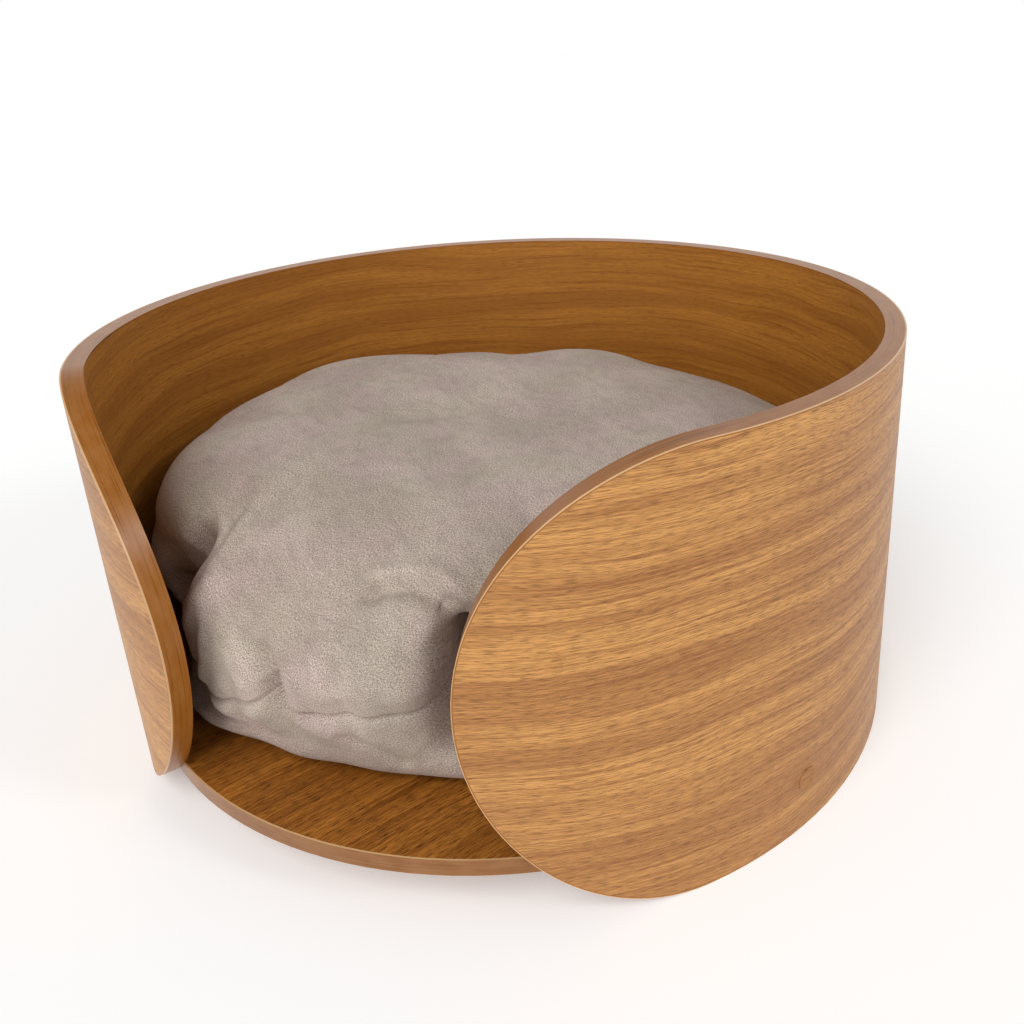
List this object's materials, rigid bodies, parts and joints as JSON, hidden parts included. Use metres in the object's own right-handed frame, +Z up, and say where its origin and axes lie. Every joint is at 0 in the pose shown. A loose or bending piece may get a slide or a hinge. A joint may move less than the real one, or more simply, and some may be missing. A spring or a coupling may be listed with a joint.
{
  "type": "pet bed",
  "caption": "Round bentwood pet bed: a tall curved wall with round-ended lobes beside the entrance, a raised base board and a loose stuffed cushion.",
  "frame": {"origin": "on the floor, at the centre of the circle that the wall is bent round", "axes": "+Z up; -Y out through the entrance between the two lobes; +X to the right lobe seen from the front"},
  "size_m": [0.5, 0.4903, 0.252],
  "materials": {
    "plywood": "matte",
    "wall_veneer": "satin",
    "edge_band": "satin",
    "base_veneer": "satin",
    "screw_steel": "satin",
    "cap_film": "matte",
    "fibre_filling": "matte",
    "liner_cloth": "matte",
    "cover_fabric": "matte",
    "label_cloth": "matte",
    "zip_tape": "matte",
    "zip_nylon": "matte",
    "zip_metal": "satin"
  },
  "bodies": {
    "frame": {"wall_core": "plywood", "wall_outer_veneer": "wall_veneer", "wall_inner_veneer": "wall_veneer", "wall_edge_band": "edge_band", "wall_floor_edge_band": "edge_band", "base_core": "plywood", "base_edge_band": "edge_band", "base_top_veneer": "base_veneer", "base_bottom_veneer": "base_veneer", "base_screws": "screw_steel", "screw_caps": "cap_film"},
    "cushion": {"cushion_filling": "fibre_filling", "liner_top_panel": "liner_cloth", "liner_bottom_panel": "liner_cloth", "cover_top_panel": "cover_fabric", "cover_bottom_panel": "cover_fabric", "care_label": "label_cloth", "zip_upper_tape": "zip_tape", "zip_upper_teeth": "zip_nylon", "zip_lower_tape": "zip_tape", "zip_lower_teeth": "zip_nylon", "zip_stops": "zip_metal"},
    "zip_slider": {"zip_slider": "zip_metal"},
    "zip_pull_tab": {"zip_pull_tab": "zip_metal"}
  },
  "joints": [
    {"name": "cushion_lift", "type": "slide", "parent": "frame", "child": "cushion", "axis": [0, 0, 1], "range_m": [0, 0.26]},
    {"name": "zip_travel", "type": "hinge", "parent": "cushion", "child": "zip_slider", "pos_m": [0, 0, 0.0997], "axis": [0, 0, 1], "range_deg": [0, 95.2]},
    {"name": "pull_tab_swing", "type": "hinge", "parent": "zip_slider", "child": "zip_pull_tab", "pos_m": [0.16438, 0.1501, 0.0997], "axis": [0, 0, 1], "range_deg": [0, 175]}
  ]
}
